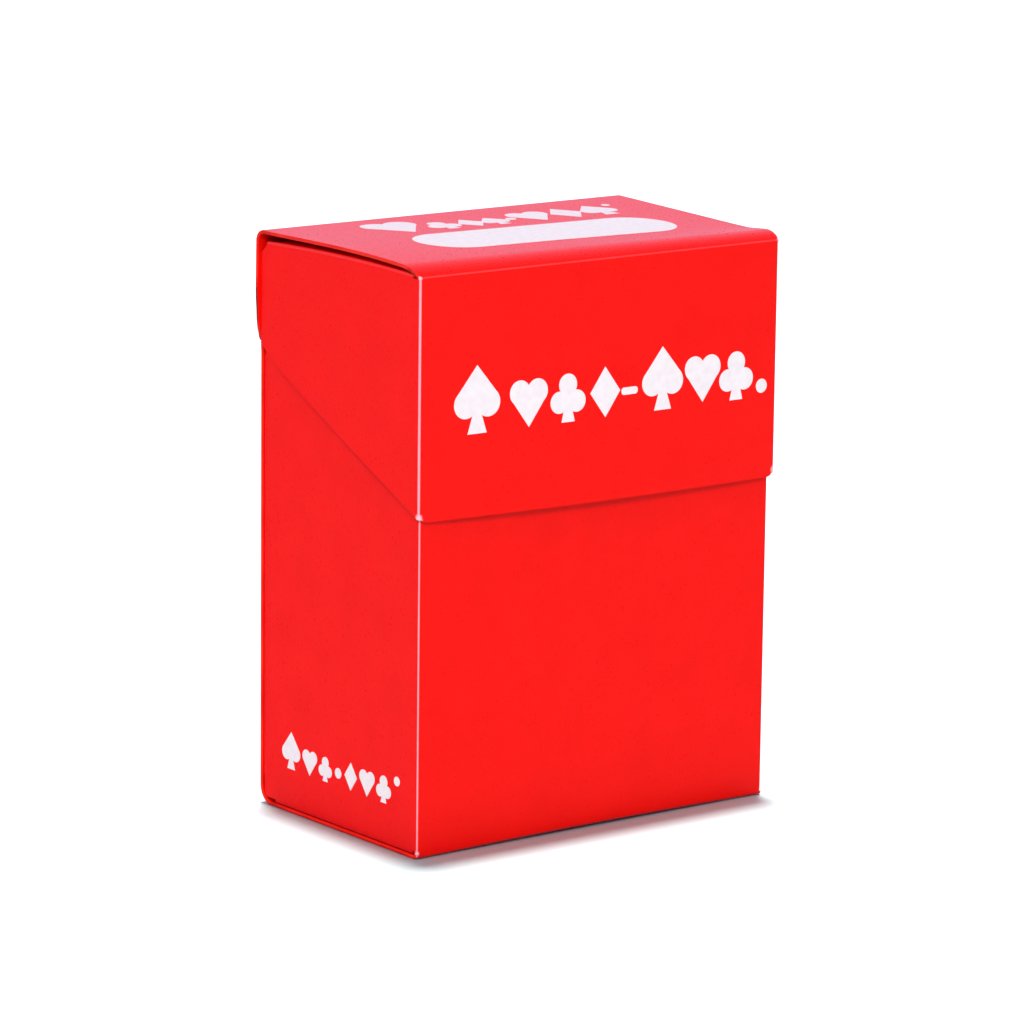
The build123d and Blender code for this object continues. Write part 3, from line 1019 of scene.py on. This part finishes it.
back_half = [
    (height * MM, strip_x + (lid_strip_x - strip_x) * share) for height, share in BACK_WIDENING
]
shoulder_half = [
    (
        lw[3] + (lw[4] - lw[3]) * i / SHOULDER_STEPS,
        lid_strip_x + (ear_x - lid_strip_x) * (i / SHOULDER_STEPS) ** 1.5,
    )
    for i in range(SHOULDER_STEPS + 1)
]
strip_piece("lid_back", "lid_back_panel",
            back_half + [(lw[1], lid_strip_x)], plain)
strip_piece("lid_back_bend", "lid_top_back_bend",
            [(lw[1], lid_strip_x), (lw[2], lid_strip_x)], plain)
strip_piece("lid_top", "lid_top_panel",
            [(lw[2], lid_strip_x)] + shoulder_half, plain)
strip_piece("lid_top_front_fold", "lid_top_front_crease",
            [(lw[4], ear_x), (lw[5], ear_x)], creased(lw[4], lw[5], faint_fold))


# ---------------------------------------------------------------- living hinge
def hinge_layer(bm, inside):
    """Grid of vertices over one face of the web."""
    low, high = hinge_low.z, hinge_high.z
    grid = []
    for i in range(HINGE_ROWS + 1):
        share = i / HINGE_ROWS
        thin = sin(pi * share) ** 0.8
        y = back_y - HINGE_GROOVE * thin
        if inside:
            y -= sheet + (HINGE_WEB - sheet) * thin
        z = low + (high - low) * share
        places = [strip_x * (2 * j / HINGE_COLUMNS - 1) for j in range(HINGE_COLUMNS + 1)]
        grid.append([bm.verts.new((x, y, z)) for x in places])
    return grid


def living_hinge():
    """Thinned web across the back."""
    bm = bmesh.new()
    outer, inner = hinge_layer(bm, False), hinge_layer(bm, True)
    for i in range(HINGE_ROWS):
        for j in range(HINGE_COLUMNS):
            bm.faces.new((outer[i][j], outer[i][j + 1], outer[i + 1][j + 1], outer[i + 1][j]))
            bm.faces.new((inner[i + 1][j], inner[i + 1][j + 1], inner[i][j + 1], inner[i][j]))
        for j in (0, HINGE_COLUMNS):
            bm.faces.new((outer[i][j], outer[i + 1][j], inner[i + 1][j], inner[i][j]))
    for j in range(HINGE_COLUMNS):
        for i in (0, HINGE_ROWS):
            bm.faces.new((outer[i][j], inner[i][j], inner[i][j + 1], outer[i][j + 1]))
    bmesh.ops.recalc_face_normals(bm, faces=bm.faces[:])
    for face in bm.faces:
        face.smooth = True
    piece = new_piece("living_hinge", bm, [hinge_web])
    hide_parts("lid_hinge")
    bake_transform(piece)


living_hinge()


# ---------------------------------------------------------------- divider
def divider():
    """Loose card with an index tab."""
    width = divider_high.x - divider_low.x
    middle = width / 2
    low, high = divider_low.z, divider_high.z
    shoulder = high - TAB_RISE
    face = Surface(FoldPath((middle, divider_high.y), pi, [("line", width)]), "z")
    tab_low, tab_high = middle - TAB_HALF_WIDTH, middle + TAB_HALF_WIDTH
    corners = [
        (0, low), (width, low), (width, shoulder), (tab_high, shoulder),
        (tab_high, high), (tab_low, high), (tab_low, shoulder), (0, shoulder),
    ]
    radii = [DIVIDER_CORNER] * 3 + [0, TAB_CORNER, TAB_CORNER, 0, DIVIDER_CORNER]
    outline = cut_outline(rounded(corners, radii))
    sheet_piece("divider_card", face, outline, "divider", ["deck_divider"],
                {**plain, "face": divider_face})


divider()


# ---------------------------------------------------------------- printed marks
def printed(name, node, body, material, lift, axes):
    """Ink layer with the outline of its CAD node, cut to a grid and laid on the bowed
    panel by lift()."""
    bm = bmesh.new()
    bm.from_mesh(frame["nodes"][node].data)
    for axis in axes:
        places = [v.co[axis] for v in bm.verts]
        low, high = min(places), max(places)
        cells = max(1, round((high - low) / PRINT_GRID))
        normal = [1.0 if i == axis else 0.0 for i in range(3)]
        for i in range(1, cells):
            spot = [0.0, 0.0, 0.0]
            spot[axis] = low + (high - low) * i / cells
            bisect(bm, spot, normal)
    for vert in bm.verts:
        vert.co = lift(vert.co)
    piece = new_piece(name, bm, [material])
    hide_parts(node)
    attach(piece, body)


def on_lid_front(co):
    along = lm[4] + co.x + ear_x - sheet
    return Vector((co.x, co.y - lid_ring.bow(along, co.z), co.z))


def on_lid_top(co):
    along = lw[2] + (top_start.x - co.y) / cos(TOP_SLOPE)
    return co + top_bow(along, co.x) * Vector((0.0, -sin(TOP_SLOPE), cos(TOP_SLOPE)))


def on_tray_side(co):
    along = ring_spot(tm, front_y, -1, co.y)
    return Vector((co.x - tray.bow(along, co.z), co.y, co.z))


printed("lid_front_marks", "lid_front_print", "lid", white_ink, on_lid_front, (0, 2))
printed("lid_top_marks", "lid_top_print", "lid", white_ink, on_lid_top, (0, 1))
printed("write_on_strip", "name_strip", "lid", write_on, on_lid_top, (0, 1))
printed("tray_side_marks", "side_print", "box", white_ink, on_tray_side, (1, 2))

# ---------------------------------------------------------------- floor, light and camera
FLOOR_HALF_WIDTH = 6.0
FLOOR_CELLS = 3.0
FLOOR_COLOURS = ((0.0, (0.73, 0.88, 0.88, 1)), (1.0, (0.75, 0.90, 0.90, 1)))
# World colour by height, from straight down (0) to straight up (1)
WORLD_STOPS = (
    (0.48, (0.02, 0.02, 0.025, 1)),
    (0.64, (0.16, 0.17, 0.20, 1)),
    (0.75, (0.42, 0.43, 0.47, 1)),
    (1.0, (0.40, 0.40, 0.42, 1)),
)
# Soft bright areas: direction, start and end of the fade as cosines, colour
WORLD_GLOWS = (
    ((0.59, 0.78, 0.20), 0.55, 0.97, (0.80, 0.86, 1.20, 1)),
    ((-0.59, 0.78, -0.20), 0.72, 0.98, (0.06, 0.07, 0.22, 1)),
)
CAMERA_LENS = 179.22
CAMERA_PLACE = Vector((-0.510140, -0.667903, 0.224474))
CAMERA_FORWARD = (0.59353, 0.77867, -0.20346)
CAMERA_RIGHT = (0.79658, -0.60442, 0.01159)


def floor():
    """Plain pale floor, kept out of the box's reflections."""
    mesh = bpy.data.meshes.new("floor")
    signs = ((-1, -1), (1, -1), (1, 1), (-1, 1))
    corners = [(x * FLOOR_HALF_WIDTH, y * FLOOR_HALF_WIDTH, 0) for x, y in signs]
    mesh.from_pydata(corners, [], [(0, 1, 2, 3)])
    material, tree, shader = new_material("pale_floor")
    colour = ramp(tree, noise(tree, position(tree), FLOOR_CELLS), FLOOR_COLOURS)
    tree.links.new(colour, shader.inputs["Base Color"])
    shader.inputs["Roughness"].default_value = 0.9
    shader.inputs["Specular IOR Level"].default_value = 0.0
    mesh.materials.append(material)
    plane = bpy.data.objects.new("floor", mesh)
    bpy.context.scene.collection.objects.link(plane)
    plane.visible_glossy = False


def new_lamp(name, kind, energy, direction, receivers):
    """Lamp that shines along direction on one collection only."""
    data = bpy.data.lights.new(name, kind)
    data.energy = energy
    lamp = bpy.data.objects.new(name, data)
    lamp.rotation_euler = Vector(direction).to_track_quat("-Z", "Y").to_euler()
    lamp.light_linking.receiver_collection = receivers
    bpy.context.scene.collection.objects.link(lamp)
    return lamp


def lights():
    """An overhead sun for the floor; a broad sun and a key lamp for the box."""
    pieces = bpy.data.collections.new("box_pieces")
    ground = bpy.data.collections.new("ground")
    for piece in bpy.context.scene.collection.objects:
        if piece.type == "MESH":
            (ground if piece.name == "floor" else pieces).objects.link(piece)
    overhead = new_lamp("overhead", "SUN", 3.8, (-0.032, -0.062, -1.0), ground)
    overhead.data.angle = radians(4.5)
    top_fill = new_lamp("top_fill", "SUN", 1.1, (0.1, 0.2, -1.0), pieces)
    top_fill.data.angle = radians(20)
    place, target = Vector((-1.32, -1.35, 1.3)), Vector((0, 0, 0.05))
    key = new_lamp("key", "AREA", 39, target - place, pieces)
    key.data.size = 0.6
    key.location = place
    key.visible_camera = False
    key.visible_glossy = False


def world():
    """Studio: dim in front and below, brighter and bluish behind the box at the horizon."""
    made = bpy.data.worlds.new("studio")
    bpy.context.scene.world = made
    made.use_nodes = True
    tree = made.node_tree
    tree.nodes.clear()
    out = tree.nodes.new("ShaderNodeOutputWorld")
    back = add_node(tree, "ShaderNodeBackground", Strength=1.0)
    split = tree.nodes.new("ShaderNodeSeparateXYZ")
    where = tree.nodes.new("ShaderNodeTexCoord").outputs["Generated"]
    tree.links.new(where, split.inputs["Vector"])
    height = spread(tree, split.outputs["Z"], 0.0, 1.0, start=-1.0)
    colour = ramp(tree, height, WORLD_STOPS)
    for direction, start, end, glow in WORLD_GLOWS:
        facing = add_node(tree, "ShaderNodeVectorMath", operation="DOT_PRODUCT")
        tree.links.new(where, facing.inputs[0])
        facing.inputs[1].default_value = Vector(direction).normalized()
        share = spread(tree, facing.outputs["Value"], 0.0, 1.0, start, end, "SMOOTHSTEP")
        colour = blend_colours(tree, share, colour, glow)
    tree.links.new(colour, back.inputs["Color"])
    tree.links.new(back.outputs["Background"], out.inputs["Surface"])


def camera():
    """Camera fitted to the photo's edges."""
    data = bpy.data.cameras.new("camera")
    data.sensor_width = 36.0
    data.lens = CAMERA_LENS
    data.clip_start, data.clip_end = 0.05, 20.0
    lens = bpy.data.objects.new("camera", data)
    forward = Vector(CAMERA_FORWARD).normalized()
    right = Vector(CAMERA_RIGHT)
    right = (right - forward * right.dot(forward)).normalized()
    up = right.cross(forward)
    turn = Matrix((right, up, -forward)).transposed().to_4x4()
    lens.matrix_world = Matrix.Translation(CAMERA_PLACE) @ turn
    bpy.context.scene.collection.objects.link(lens)
    bpy.context.scene.camera = lens


floor()
world()
lights()
camera()
bpy.context.scene.view_settings.view_transform = "Standard"
